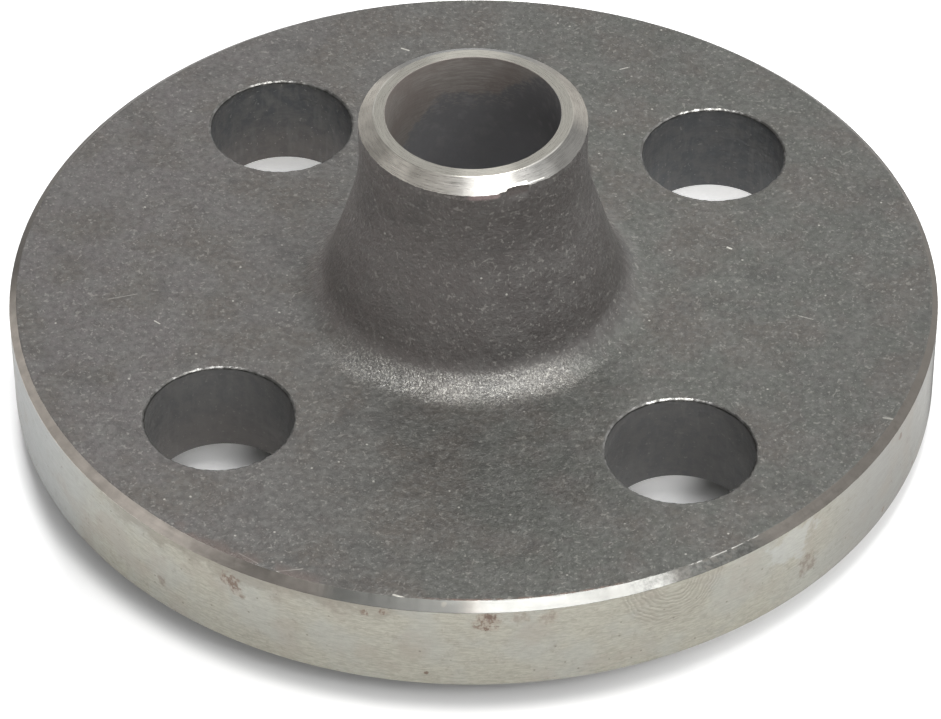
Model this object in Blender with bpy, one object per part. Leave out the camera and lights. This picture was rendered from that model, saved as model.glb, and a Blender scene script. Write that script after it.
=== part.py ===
"""Weld neck flange: one steel forging, turned, drilled and bevelled for butt welding.

Metres, +Z up. The origin is the centre of the raised gasket face, on which the flange rests.
+Z runs along the bore towards the weld end, and the four bolt holes straddle the X and Y axes.
"""

import math

import bmesh
import bpy
from mathutils import Matrix, Vector

MM = 0.001

# Plate
PLATE_DIAMETER = 95.0 * MM
PLATE_THICKNESS = 12.6 * MM
RIM_BACK_CHAMFER_WIDTH = 1.0 * MM
RIM_BACK_CHAMFER_DROP = 0.55 * MM
RIM_FRONT_CHAMFER = 0.4 * MM

# Bolt holes, set in from the rim
BOLT_HOLE_COUNT = 4
BOLT_HOLE_DIAMETER = 14.9 * MM
BOLT_HOLE_INSET = 15.0 * MM
BOLT_HOLE_LIP = 0.15 * MM

# Raised gasket face, inside the bolt holes
GASKET_FACE_TO_HOLES = 2.55 * MM
GASKET_FACE_HEIGHT = 2.0 * MM
GASKET_EDGE_BREAK = 0.2 * MM

# Neck, from the weld end down to the plate
OVERALL_HEIGHT = 35.0 * MM
WELD_END_DIAMETER = 22.9 * MM
WELD_END_WALL = 2.65 * MM
WELD_END_LENGTH = 4.4 * MM
WELD_LAND_WIDTH = 1.15 * MM
WELD_BEVEL_ANGLE = math.radians(32.0)
NECK_TAPER = math.radians(17.0)
NECK_BEND_RADIUS = 24.0 * MM
NECK_FILLET_RADIUS = 4.0 * MM

# Mouth of the bore in the gasket face
BORE_MOUTH_CHAMFER = 0.3 * MM

# Knock on the outer edge of the weld bevel
NICK_DIRECTION = math.radians(299.0)
NICK_LENGTH = 2.8 * MM
NICK_DEPTH = 0.75 * MM
NICK_HEIGHT = 1.8 * MM

# Fineness of the facets
ROUND_SEGMENTS = 96
HOLE_SEGMENTS = 40
FILLET_STEPS = 7
BEND_STEPS = 6
NICK_SUBDIVISIONS = 2
SHARP_ANGLE = math.radians(24.0)

# How far a cutter runs past the surface that it cuts
CUTTER_REACH = 2.0 * MM

STEEL_COLOUR = (0.135, 0.128, 0.118, 1.0)
STEEL_ROUGHNESS = 0.55
STEEL_METALLIC = 0.85

# Radii that follow from the sizes above
PLATE_RADIUS = PLATE_DIAMETER / 2
BOLT_HOLE_RADIUS = BOLT_HOLE_DIAMETER / 2
BOLT_CIRCLE_RADIUS = PLATE_RADIUS - BOLT_HOLE_INSET
GASKET_FACE_RADIUS = BOLT_CIRCLE_RADIUS - BOLT_HOLE_RADIUS - GASKET_FACE_TO_HOLES
WELD_END_RADIUS = WELD_END_DIAMETER / 2
BORE_RADIUS = WELD_END_RADIUS - WELD_END_WALL
LAND_RADIUS = BORE_RADIUS + WELD_LAND_WIDTH
BEVEL_FOOT = OVERALL_HEIGHT - (WELD_END_RADIUS - LAND_RADIUS) * math.tan(WELD_BEVEL_ANGLE)


def clear_scene():
    for old in list(bpy.data.objects):
        bpy.data.objects.remove(old)


def steel():
    material = bpy.data.materials.new("forged_steel")
    material.use_nodes = True
    shader = material.node_tree.nodes["Principled BSDF"]
    shader.inputs["Base Color"].default_value = STEEL_COLOUR
    shader.inputs["Roughness"].default_value = STEEL_ROUGHNESS
    shader.inputs["Metallic"].default_value = STEEL_METALLIC
    return material


def arc(centre_r, centre_z, radius, start, end, steps):
    """Points (r, z) on an arc, both ends included. Angles are from +r towards +z."""
    points = []
    for step in range(steps + 1):
        angle = start + (end - start) * step / steps
        points.append((centre_r + radius * math.cos(angle), centre_z + radius * math.sin(angle)))
    return points


def neck_outline():
    """Outside of the neck, from the land's edge down to where the fillet runs out on the plate."""
    # The straight end swings out into the taper through a hollow bend.
    bend_top = OVERALL_HEIGHT - WELD_END_LENGTH
    bend_centre_r = WELD_END_RADIUS + NECK_BEND_RADIUS
    bend = arc(bend_centre_r, bend_top, NECK_BEND_RADIUS, math.pi, math.pi + NECK_TAPER, BEND_STEPS)

    # The taper meets the plate in a fillet that touches both.
    taper_r, taper_z = bend[-1]
    foot_r = taper_r + (taper_z - PLATE_THICKNESS) * math.tan(NECK_TAPER)
    fillet_r = foot_r + NECK_FILLET_RADIUS * math.tan((math.pi / 2 - NECK_TAPER) / 2)
    fillet_z = PLATE_THICKNESS + NECK_FILLET_RADIUS
    fillet = arc(fillet_r, fillet_z, NECK_FILLET_RADIUS, math.pi + NECK_TAPER, 1.5 * math.pi, FILLET_STEPS)

    return [(LAND_RADIUS, OVERALL_HEIGHT), (WELD_END_RADIUS, BEVEL_FOOT)] + bend + fillet


def section():
    """Half section (r, z) of the forging: down its outer side, in along the bottom, up the bore."""
    rim = [
        (PLATE_RADIUS - RIM_BACK_CHAMFER_WIDTH, PLATE_THICKNESS),
        (PLATE_RADIUS, PLATE_THICKNESS - RIM_BACK_CHAMFER_DROP),
        (PLATE_RADIUS, GASKET_FACE_HEIGHT + RIM_FRONT_CHAMFER),
        (PLATE_RADIUS - RIM_FRONT_CHAMFER, GASKET_FACE_HEIGHT),
    ]
    gasket_face = [
        (GASKET_FACE_RADIUS, GASKET_FACE_HEIGHT),
        (GASKET_FACE_RADIUS, GASKET_EDGE_BREAK),
        (GASKET_FACE_RADIUS - GASKET_EDGE_BREAK, 0.0),
    ]
    bore = [
        (BORE_RADIUS + BORE_MOUTH_CHAMFER, 0.0),
        (BORE_RADIUS, BORE_MOUTH_CHAMFER),
        (BORE_RADIUS, OVERALL_HEIGHT),
    ]
    return neck_outline() + rim + gasket_face + bore


def turned(name, outline, segments):
    """A solid of revolution about Z. The outline (r, z) is closed and runs down its outer side."""
    work = bmesh.new()
    ring = [work.verts.new((r, 0.0, z)) for r, z in outline]
    for start, end in zip(ring, ring[1:] + ring[:1]):
        work.edges.new((start, end))
    mesh = bpy.data.meshes.new(name)
    work.to_mesh(mesh)
    work.free()
    solid = bpy.data.objects.new(name, mesh)
    bpy.context.collection.objects.link(solid)
    screw = solid.modifiers.new("turning", "SCREW")
    screw.steps = segments
    screw.render_steps = segments
    screw.use_merge_vertices = True
    screw.merge_threshold = 0.00001
    return solid


def capped_outline(points):
    """Closes a cutter's side profile (r, z) with its top and bottom ends on the axis."""
    return [(0.0, points[0][1])] + points + [(0.0, points[-1][1])]


def mark_as_cutter(cutter):
    cutter.hide_render = True
    cutter.display_type = "WIRE"


def bolt_hole_cutter(number):
    """A drill's path through the plate, flared at both faces, with room above it for a nut."""
    flared_radius = BOLT_HOLE_RADIUS + BOLT_HOLE_LIP + CUTTER_REACH
    sides = [
        (flared_radius, OVERALL_HEIGHT + CUTTER_REACH),
        (flared_radius, PLATE_THICKNESS + CUTTER_REACH),
        (BOLT_HOLE_RADIUS, PLATE_THICKNESS - BOLT_HOLE_LIP),
        (BOLT_HOLE_RADIUS, GASKET_FACE_HEIGHT + BOLT_HOLE_LIP),
        (flared_radius, GASKET_FACE_HEIGHT - CUTTER_REACH),
    ]
    cutter = turned(f"bolt_hole_cutter_{number}", capped_outline(sides), HOLE_SEGMENTS)
    direction = 2 * math.pi * (number + 0.5) / BOLT_HOLE_COUNT
    axis_x = BOLT_CIRCLE_RADIUS * math.cos(direction)
    axis_y = BOLT_CIRCLE_RADIUS * math.sin(direction)
    cutter.location = (axis_x, axis_y, 0.0)
    mark_as_cutter(cutter)
    return cutter


def nick_cutter():
    """A long flat ellipsoid whose belly bites into the outer edge of the weld bevel."""
    work = bmesh.new()
    bmesh.ops.create_icosphere(work, subdivisions=NICK_SUBDIVISIONS, radius=1.0)
    half_size = Vector((NICK_DEPTH, NICK_LENGTH / 2, NICK_HEIGHT / 2))
    bmesh.ops.transform(work, matrix=Matrix.Diagonal(half_size).to_4x4(), verts=work.verts)
    mesh = bpy.data.meshes.new("nick_cutter")
    work.to_mesh(mesh)
    work.free()
    cutter = bpy.data.objects.new("nick_cutter", mesh)
    bpy.context.collection.objects.link(cutter)
    edge_x = WELD_END_RADIUS * math.cos(NICK_DIRECTION)
    edge_y = WELD_END_RADIUS * math.sin(NICK_DIRECTION)
    cutter.location = (edge_x, edge_y, BEVEL_FOOT)
    cutter.rotation_euler = (0.0, 0.0, NICK_DIRECTION)
    mark_as_cutter(cutter)
    return cutter


def cut(solid, cutter):
    boolean = solid.modifiers.new(cutter.name, "BOOLEAN")
    boolean.operation = "DIFFERENCE"
    boolean.solver = "EXACT"
    boolean.object = cutter


def apply_cuts(solid, cutters):
    """Fixes the turned and cut shape as the object's own mesh, so that its edges can be marked sharp."""
    bpy.context.view_layer.update()
    evaluated = solid.evaluated_get(bpy.context.evaluated_depsgraph_get())
    mesh = bpy.data.meshes.new_from_object(evaluated)
    mesh.name = solid.name
    solid.modifiers.clear()
    solid.data = mesh
    for cutter in cutters:
        bpy.data.objects.remove(cutter)


def weld_neck_flange():
    flange = turned("weld_neck_flange", section(), ROUND_SEGMENTS)
    cutters = [bolt_hole_cutter(number) for number in range(BOLT_HOLE_COUNT)]
    cutters.append(nick_cutter())
    for cutter in cutters:
        cut(flange, cutter)
    apply_cuts(flange, cutters)
    flange.data.materials.clear()
    flange.data.materials.append(steel())
    flange.data.shade_smooth()
    flange.data.set_sharp_from_angle(angle=SHARP_ANGLE)
    return flange


clear_scene()
weld_neck_flange()
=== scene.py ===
import math

import bmesh
import bpy
from mathutils import Matrix, Vector, noise


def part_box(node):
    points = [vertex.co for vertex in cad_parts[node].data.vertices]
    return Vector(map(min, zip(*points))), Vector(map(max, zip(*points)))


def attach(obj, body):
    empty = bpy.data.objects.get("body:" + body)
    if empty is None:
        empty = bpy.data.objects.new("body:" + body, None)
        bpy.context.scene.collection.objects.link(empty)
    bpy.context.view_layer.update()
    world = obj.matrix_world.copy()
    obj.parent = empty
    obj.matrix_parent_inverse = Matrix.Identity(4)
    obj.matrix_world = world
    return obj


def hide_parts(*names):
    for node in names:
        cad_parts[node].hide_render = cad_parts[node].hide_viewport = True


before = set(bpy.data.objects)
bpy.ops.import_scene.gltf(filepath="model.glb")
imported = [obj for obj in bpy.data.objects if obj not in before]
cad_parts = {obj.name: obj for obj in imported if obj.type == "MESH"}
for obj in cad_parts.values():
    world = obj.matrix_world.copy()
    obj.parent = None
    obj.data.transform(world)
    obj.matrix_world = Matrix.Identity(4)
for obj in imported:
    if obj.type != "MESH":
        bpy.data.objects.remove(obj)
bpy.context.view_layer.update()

MM = 0.001
NODE = "weld_neck_flange"
UP = Vector((0, 0, 1))

# Sizes read from the frame
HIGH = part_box(NODE)[1]
PLATE_RADIUS = HIGH.x
TOP = HIGH.z

# Sizes that repeat the forging's own
BACK_FACE = 12.6 * MM
BOLT_CIRCLE_RADIUS = PLATE_RADIUS - 15.0 * MM
HOLE_RADIUS = 7.45 * MM
HOLE_COUNT = 4
GASKET_HEIGHT = 2.0 * MM
GASKET_RADIUS = BOLT_CIRCLE_RADIUS - HOLE_RADIUS - 2.55 * MM
GASKET_EDGE = 0.2 * MM
FRONT_CHAMFER = 0.4 * MM
WELD_END_RADIUS = 11.45 * MM
BORE_RADIUS = 8.8 * MM
LAND_RADIUS = BORE_RADIUS + 1.15 * MM
BEVEL_SLOPE = math.tan(math.radians(32))
MOUTH_CHAMFER = 0.3 * MM
BORE_EDGE = 0.03 * MM
BEND_TOP = TOP - 4.4 * MM
BEND_RADIUS = 24.0 * MM
TAPER = math.radians(17)
FILLET_RADIUS = 4.0 * MM

# Camera, fitted to the photograph's ellipses
LENS_MM = 190.0
CAMERA_TURN = math.radians(6.27)
CAMERA_RISE = math.radians(42.04)
CAMERA_ROLL = math.radians(-0.24)
CAMERA_DISTANCE = 508.8 * MM
AIM_RIGHT = -0.31 * MM
AIM_UP = -7.95 * MM

# Segments round the rim, round the neck and round each bolt hole
RIM_SEGMENTS = 1440
NECK_SEGMENTS = 640
HOLE_SEGMENTS = 240

# Rings of the neck's profile along its bend, its taper and its fillet
BEND_STEPS = 8
TAPER_STEPS = 8
FILLET_STEPS = 14

# Rings below the bevel's edge in mm, and across the bevel as shares of its width
RINGS_BELOW_BEVEL = (2.2, 1.5, 1.1, 0.75, 0.45, 0.2, 0.05)
RINGS_ON_BEVEL = (0.0, 0.06, 0.3, 0.55, 0.8, 0.94, 1.0)
BORE_RINGS = 12

# Material places on the forging
SKIN, RIM, CHAMFER, END, BORE, DRILLED, FACE, LIP = range(8)

# The chamfer round the back of the rim. The forging sat out of true when it was turned, so the chamfer
# is broader towards the front: (degrees round the axis, width in mm)
CHAMFER_DROP = 0.5 * MM
CHAMFER_WIDTHS = (
    (0, 0.60), (60, 0.60), (150, 0.75), (185, 0.70), (206, 0.82), (220, 1.00), (232, 1.14), (262, 1.22),
    (284, 1.30), (297, 1.25), (311, 1.15), (325, 1.08), (346, 0.85), (360, 0.60),
)
CHAMFER_RAGGED = 0.04 * MM
CHAMFER_EDGE = 0.02 * MM

# The neck's raw skin is not quite round, so the bevel runs out lower at the front
NECK_OFFSET = 0.2 * MM
NECK_OFFSET_AT = math.radians(283)

# A nick broken out of the bevel's lower edge: (degrees round the neck, depth in mm)
NICK = (
    (288.4, 0.0), (289.4, 0.10), (292.7, 0.13), (293.6, 0.38), (296.5, 0.42), (300.5, 0.38),
    (303.6, 0.26), (305.4, 0.14), (308.0, 0.06), (310.5, 0.14), (313.0, 0.05), (316.0, 0.0),
)
NICK_HEIGHT = 0.9 * MM
NICK_RAGGED = 0.12

# Unevenness of the raw neck, and of the edge where the bevel meets it
NECK_WAVE = 0.07 * MM
NECK_LUMP = 0.05 * MM
NECK_LUMP_FROM = 6.0 * MM
EDGE_WAVE = 0.035 * MM
EDGE_FINE_WAVE = 0.03 * MM

# Small marks on the back face, in mm: start, end, half width, strength
SKIN_MARKS = (
    ((25.5, 8.1), (25.9, 7.9), 0.16, 1.0), ((12.0, 36.2), (12.8, 36.6), 0.09, 0.8),
    ((42.7, -16.2), (44.4, -16.4), 0.18, 0.4), ((-11.8, 37.4), (-11.0, 37.1), 0.14, 0.8),
    ((-31.6, -9.3), (-31.0, -9.7), 0.10, 0.8), ((-34.0, -5.4), (-36.8, -6.5), 0.08, 0.3),
    ((33.4, -1.8), (34.9, -2.2), 0.08, 0.45), ((-14.3, -44.0), (-11.9, -43.4), 0.08, 0.6),
    ((-18.3, -41.9), (-16.3, -43.1), 0.08, 0.45), ((38.6, -26.1), (38.8, -26.0), 0.13, 0.9),
    ((-2.8, -46.0), (-1.8, -46.3), 0.17, 1.0),
)

# Rust blots on the rim: degrees round the axis, height and reach in mm, strength
RIM_RUST = (
    (246.4, 10.3, 1.2, 0.9), (247.4, 9.2, 0.9, 0.7), (263.2, 11.2, 0.55, 0.8), (265.6, 11.5, 0.55, 0.8),
    (277.6, 10.8, 1.5, 1.0), (281.6, 11.2, 1.1, 0.35), (284.9, 10.9, 1.0, 0.35), (319.8, 5.8, 1.5, 0.5),
    (236.0, 5.6, 0.8, 0.4), (335.6, 3.3, 0.35, 0.9), (339.5, 10.6, 0.45, 0.8), (270.5, 3.8, 0.3, 0.9),
    (345.0, 3.1, 0.4, 0.8), (120.0, 6.0, 1.6, 0.8), (60.0, 9.0, 1.1, 0.8), (160.0, 4.0, 0.9, 0.6),
)

# Curved cutter marks on the rim: their centre, reach and spacing, in mm, and the direction in degrees
ARCS_DIRECTION = 300.0
ARCS_HEIGHT = 12.5
ARCS_INNER = 1.2
ARCS_OUTER = 6.2
ARCS_PITCH = 0.46

# Spacing of the spiral groove on the gasket face, in mm
GROOVE_PITCH = 0.8

# Where the boring stops round the turn: degrees round the axis, height in mm
BORE_BORDER = (
    (0, 35.5), (46, 35.0), (60, 33.6), (66, 32.2), (78, 30.7), (101, 30.4), (126, 29.6), (148, 26.8),
    (180, 24.5), (230, 25.0), (290, 30.0), (330, 34.5), (360, 35.5),
)

# How far the metal's mirror-like brightness is held back where it is seen edge on: 1 not at all, 0 wholly
EDGE_TINT = 0.62
EDGE_TINT_SHADED = 0.25
EDGE_TINT_TURNED = 0.45

# Colours of the forging, as linear red, green and blue
GREEN_SCALE = (0.077, 0.079, 0.070)
VIOLET_SCALE = (0.104, 0.095, 0.093)
BROWN_SCALE = (0.084, 0.075, 0.066)
WARM_SCALE = (0.083, 0.074, 0.069)
LIGHT_SCALE = (0.125, 0.124, 0.116)
PIT_SCALE = (0.033, 0.032, 0.031)
# Pale flecks of the scale, also used for the painted glints on the fillet
PALE_FLECK_AND_GLINT = (0.42, 0.41, 0.37)
FRINGE = (0.170, 0.090, 0.065)
SMUDGE = (0.105, 0.082, 0.073)
# The nick's brown, darkened as painted shade for its hollow
NICK_BROWN_AND_SHADE = (0.045, 0.036, 0.032)
# A pinkish burr, painted lighter where the highlight spills onto it
BURR_PINK_AND_GLEAM = (0.230, 0.175, 0.170)
# Painted light and shade on the neck: lighter on its left, darker on its right
NECK_LEFT_PAINTED_LIGHT = (0.107, 0.095, 0.089)
NECK_RIGHT_PAINTED_SHADE = (0.055, 0.049, 0.046)
# Painted sheen on the front of the fillet
FILLET_PAINTED_SHEEN = (0.240, 0.236, 0.224)
RIM_STEEL = (0.425, 0.413, 0.355)
RIM_DEEP = (0.258, 0.250, 0.212)
RIM_PALE = (0.345, 0.352, 0.332)
# Painted reflection on the far left of the rim
RIM_LEFT_PAINTED_REFLECTION = (0.370, 0.378, 0.371)
# Painted shade on the right of the rim
RIM_RIGHT_PAINTED_SHADE = (0.305, 0.302, 0.285)
RIM_SHADED = (0.142, 0.140, 0.132)
RIM_BRIGHT = (0.430, 0.440, 0.430)
RIM_WARM = (0.310, 0.280, 0.243)
RIM_STAIN = (0.190, 0.172, 0.145)
RUST = (0.118, 0.072, 0.055)
RUST_HAZE = (0.290, 0.242, 0.200)
# Bright steel of burrs, also used for painted highlights on edges
BRIGHT_STEEL_AND_GLINT = (0.62, 0.61, 0.57)
FACE_STEEL = (0.37, 0.364, 0.338)
FACE_DEEP = (0.30, 0.295, 0.272)
CHAMFER_DULL = (0.121, 0.111, 0.100)
CHAMFER_LEFT_PALE = (0.567, 0.514, 0.460)
# Painted shade on the chamfer beside its highlight
CHAMFER_PAINTED_SHADE = (0.062, 0.062, 0.058)
CHAMFER_CLEAN = (0.125, 0.125, 0.118)
CHAMFER_BRIGHT = (0.155, 0.155, 0.146)
CHAMFER_SPOT = (0.095, 0.088, 0.078)
BEVEL_STAIN = (0.28, 0.262, 0.235)
BEVEL_BARE = (0.152, 0.148, 0.139)
BEVEL_LEFT_PALE = (0.470, 0.442, 0.397)
BEVEL_PALE = (0.720, 0.677, 0.608)
BEVEL_COLD = (0.230, 0.225, 0.213)
BEVEL_FAR = (0.290, 0.273, 0.245)
LAND_STEEL = (0.390, 0.376, 0.337)
# Painted highlight on the land at the front
LAND_PAINTED_HIGHLIGHT = (0.600, 0.579, 0.519)
LAND_FAR = (0.540, 0.521, 0.467)
BORE_BROWN = (0.21, 0.188, 0.172)
BORE_PALE = (0.28, 0.262, 0.240)
BORE_WARM = (0.19, 0.158, 0.144)
BORE_DARK = (0.160, 0.158, 0.162)
# Painted light in the bore's depth and on its right
BORE_DEPTH_PAINTED_LIGHT = (0.35, 0.350, 0.360)
BORE_SPECK = (0.30, 0.295, 0.29)
DRILL_DARK = (0.100, 0.100, 0.100)
DRILL_LIGHT = (0.180, 0.177, 0.170)
DRILL_COLD = (0.080, 0.085, 0.090)
DRILL_BROWN = (0.160, 0.130, 0.112)
DRILL_PALE = (0.220, 0.214, 0.204)
DRILL_DEEP = (0.040, 0.042, 0.045)
LIP_DARK = (0.09, 0.088, 0.083)
LIP_GREY = (0.16, 0.158, 0.152)
# Painted highlight on the lips of the bolt holes
LIP_PAINTED_GLINT = (0.32, 0.315, 0.295)
FLOOR_WHITE = (0.9, 0.9, 0.9)
# Painted shade and shadow on the floor
FLOOR_PAINTED_SHADE = (0.55, 0.55, 0.55)

# Lights and floor
LIGHT_DISTANCE = 3.0
FLOOR_HALF = 3.0
WORLD_MEAN = 0.94
WORLD_LEAN = Vector((0.8, -0.083, -0.8))
WORLD_MIDDLE = 0.667

# Painted light: the floor glows in a patch under each bolt hole, so that it shows bright through the hole.
# Strength, then the patch's place from the hole's axis and where it starts to fade and ends, in mm
HOLE_PAINTED_GLOW = (
    (0.58, -2.0, 1.0, 9.0, 12.0), (0.38, -2.0, 1.0, 9.0, 12.0),
    (0.18, -3.0, 11.0, 2.0, 6.5), (0.32, -3.0, 11.0, 2.0, 6.5),
)

# Painted shade: the floor is coloured darker in a patch under each front hole. Its place from the hole's
# axis, and where it starts to fade and ends, in mm
HOLE_PAINTED_SHADE = Vector((5.6, 8.5, 0.0))
HOLE_PAINTED_SHADE_FULL = 3.2
HOLE_PAINTED_SHADE_END = 7.6


def towards(angle, radius, height):
    return Vector((radius * math.cos(angle), radius * math.sin(angle), height))


def steps(start, stop, count):
    """count values after start, evenly spaced, ending on stop."""
    return [start + (stop - start) * i / count for i in range(1, count + 1)]


def wave(angle, scale, seed):
    """Smooth unevenness round a turn, about -1 to 1, that closes on itself."""
    return noise.noise(Vector((math.cos(angle) * scale, math.sin(angle) * scale, seed)))


def along(table, degrees):
    """The value at degrees of a table of (degrees, value) that runs round a whole turn."""
    for (start, low), (end, high) in zip(table, table[1:]):
        if degrees <= end:
            return low + (high - low) * (degrees - start) / (end - start)
    return table[-1][1]


def chamfer_inner(angle):
    width = along(CHAMFER_WIDTHS, math.degrees(angle) % 360) * MM
    ragged = 0.5 * wave(angle, 6.0, 4.0) + 0.5 * wave(angle, 30.0, 7.0) + 0.7 * wave(angle, 110.0, 9.0)
    width += CHAMFER_RAGGED * ragged
    return PLATE_RADIUS - width


def chamfer_point(share):
    """A ring of the chamfer's slope: share 0 at its inner edge, 1 at its outer edge."""
    def point(angle):
        inner = chamfer_inner(angle)
        return towards(angle, inner + (PLATE_RADIUS - inner) * share, BACK_FACE - CHAMFER_DROP * share)
    return point


def nick_depth(angle):
    degrees = math.degrees(angle) % 360
    for (start, shallow), (end, deep) in zip(NICK, NICK[1:]):
        if start <= degrees <= end:
            share = (degrees - start) / (end - start)
            ragged = 1.0 + NICK_RAGGED * wave(angle, 60.0, 2.0)
            return (shallow + (deep - shallow) * share) * ragged * MM
    return 0.0


def neck_swell(angle):
    """How far the raw neck stands out from its nominal radius."""
    return NECK_OFFSET * math.cos(angle - NECK_OFFSET_AT) + NECK_WAVE * wave(angle, 1.8, 12.0)


class Shell:
    """Collects rings of points and the quads between them."""

    def __init__(self):
        self.mesh = bmesh.new()

    def ring(self, point, segments):
        """point(angle) gives a place; returns the ring's vertices."""
        return [self.mesh.verts.new(point(2 * math.pi * i / segments)) for i in range(segments)]

    def band(self, first, second, place):
        count = len(first)
        for i in range(count):
            j = (i + 1) % count
            face = self.mesh.faces.new((first[i], first[j], second[j], second[i]))
            face.material_index = place
            face.smooth = True

    def rings(self, points, segments, places):
        """A run of rings with bands between them; places is one place or a list, one for each band."""
        made = [self.ring(point, segments) for point in points]
        for n, (first, second) in enumerate(zip(made, made[1:])):
            self.band(first, second, places[n] if isinstance(places, list) else places)
        return made[0], made[-1]

    def sheet(self, loops, normal, place):
        """Fills the flat space between several loops."""
        edges = []
        for loop in loops:
            for a, b in zip(loop, loop[1:] + loop[:1]):
                edges.append(self.mesh.edges.get((a, b)))
        made = bmesh.ops.triangle_fill(self.mesh, edges=edges, normal=normal, use_beauty=True)
        for face in made["geom"]:
            if isinstance(face, bmesh.types.BMFace):
                face.material_index = place
                face.smooth = True


def neck_profile():
    """(radius, height) from the straight end's foot to where the fillet runs out, then the radius there."""
    points = []
    bend_centre = WELD_END_RADIUS + BEND_RADIUS
    for i in range(BEND_STEPS + 1):
        angle = TAPER * i / BEND_STEPS
        points.append((bend_centre - BEND_RADIUS * math.cos(angle), BEND_TOP - BEND_RADIUS * math.sin(angle)))
    taper_r, taper_z = points[-1]
    foot_r = taper_r + (taper_z - BACK_FACE) * math.tan(TAPER)
    fillet_r = foot_r + FILLET_RADIUS * math.tan((math.pi / 2 - TAPER) / 2)
    fillet_z = BACK_FACE + FILLET_RADIUS
    start_z = fillet_z - FILLET_RADIUS * math.sin(TAPER)
    start_r = fillet_r - FILLET_RADIUS * math.cos(TAPER)
    for i in range(1, TAPER_STEPS):
        share = i / TAPER_STEPS
        points.append((taper_r + (start_r - taper_r) * share, taper_z + (start_z - taper_z) * share))
    for i in range(FILLET_STEPS + 1):
        angle = TAPER + (math.pi / 2 - TAPER) * i / FILLET_STEPS
        out, down = FILLET_RADIUS * math.cos(angle), FILLET_RADIUS * math.sin(angle)
        points.append((fillet_r - out, fillet_z - down))
    return points, fillet_r


def neck_skin(radius, height, angle):
    """A point of the raw neck: round, but lumpy and a little out of true above its fillet."""
    fade = min(1.0, max(0.0, (height - BACK_FACE) / NECK_LUMP_FROM))
    lump = NECK_LUMP * noise.noise(Vector((math.cos(angle) * 3, math.sin(angle) * 3, height / MM * 0.5)))
    return towards(angle, radius + fade * (neck_swell(angle) + lump), height)


def edge_radius(angle):
    """Where the bevel meets the raw neck, before the nick."""
    radius = WELD_END_RADIUS + neck_swell(angle) + EDGE_WAVE * wave(angle, 22.0, 3.0)
    return radius + EDGE_FINE_WAVE * wave(angle, 70.0, 5.0)


def bevel_height(radius):
    return TOP - (radius - LAND_RADIUS) * BEVEL_SLOPE


def below_bevel(drop):
    """Points of the neck a drop below the bevel's edge, hollowed where the nick is."""
    def point(angle):
        radius = edge_radius(angle)
        hollow = nick_depth(angle) * max(0.0, 1.0 - drop / NICK_HEIGHT) ** 0.6
        inner = radius - hollow
        height = min(bevel_height(inner), bevel_height(radius) + hollow * 0.5) - drop
        return towards(angle, inner, height)
    return point


def bevel_point(share):
    def point(angle):
        radius = (edge_radius(angle) - nick_depth(angle)) * (1 - share) + LAND_RADIUS * share
        return towards(angle, radius, bevel_height(radius))
    return point


def circle(radius, height):
    return lambda angle: towards(angle, radius, height)


def hole_centres():
    for number in range(HOLE_COUNT):
        yield towards(2 * math.pi * (number + 0.5) / HOLE_COUNT, BOLT_CIRCLE_RADIUS, 0.0)


def hole_point(centre, reach, height, ragged=0.0):
    """A ring of a bolt hole; ragged roughens it where the drill broke the scale."""
    def point(angle):
        rough = 0.5 * wave(angle, 7.0, centre.x * 100) + 0.7 * wave(angle, 19.0, centre.y * 100)
        return centre + towards(angle, HOLE_RADIUS + reach + ragged * rough, height)
    return point


def add_neck(shell):
    """The raw skin from the back face up to the bevel's ragged edge; returns its lowest and highest ring."""
    profile, foot = neck_profile()
    points = [circle(foot + 1.2 * MM, BACK_FACE), circle(foot + 0.4 * MM, BACK_FACE)]
    for radius, height in reversed(profile):
        points.append(lambda angle, r=radius, z=height: neck_skin(r, z, angle))
    points += [below_bevel(drop * MM) for drop in RINGS_BELOW_BEVEL]
    return shell.rings(points, NECK_SEGMENTS, SKIN)


def add_turned_inside(shell, last):
    """Bevel, land, bore and gasket face, on from the ring last; returns the ring on the plate's front."""
    bevel = [bevel_point(share) for share in RINGS_ON_BEVEL]
    land = [circle(LAND_RADIUS - 0.06 * MM, TOP), circle(BORE_RADIUS + BORE_EDGE, TOP)]
    heights = (TOP - BORE_EDGE, *steps(TOP - BORE_EDGE, MOUTH_CHAMFER, BORE_RINGS))
    bore = [circle(BORE_RADIUS, height) for height in heights]
    mouth = [circle(BORE_RADIUS + MOUTH_CHAMFER, 0.0), circle(BORE_RADIUS + 2 * MOUTH_CHAMFER, 0.0)]
    face = [circle(GASKET_RADIUS - 2 * GASKET_EDGE, 0.0), circle(GASKET_RADIUS - GASKET_EDGE, 0.0)]
    side = [circle(GASKET_RADIUS, GASKET_EDGE), circle(GASKET_RADIUS, GASKET_HEIGHT - 0.05 * MM)]
    front = [
        circle(GASKET_RADIUS + 0.05 * MM, GASKET_HEIGHT),
        circle(GASKET_RADIUS + 0.6 * MM, GASKET_HEIGHT),
    ]
    runs = ((bevel, END), (land, END), (bore, BORE), (mouth, FACE), (face, FACE), (side, FACE), (front, FACE))
    for run, place in runs:
        start, end = shell.rings(run, NECK_SEGMENTS, place)
        shell.band(last, start, SKIN if run is bevel else place)
        last = end
    return last


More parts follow.
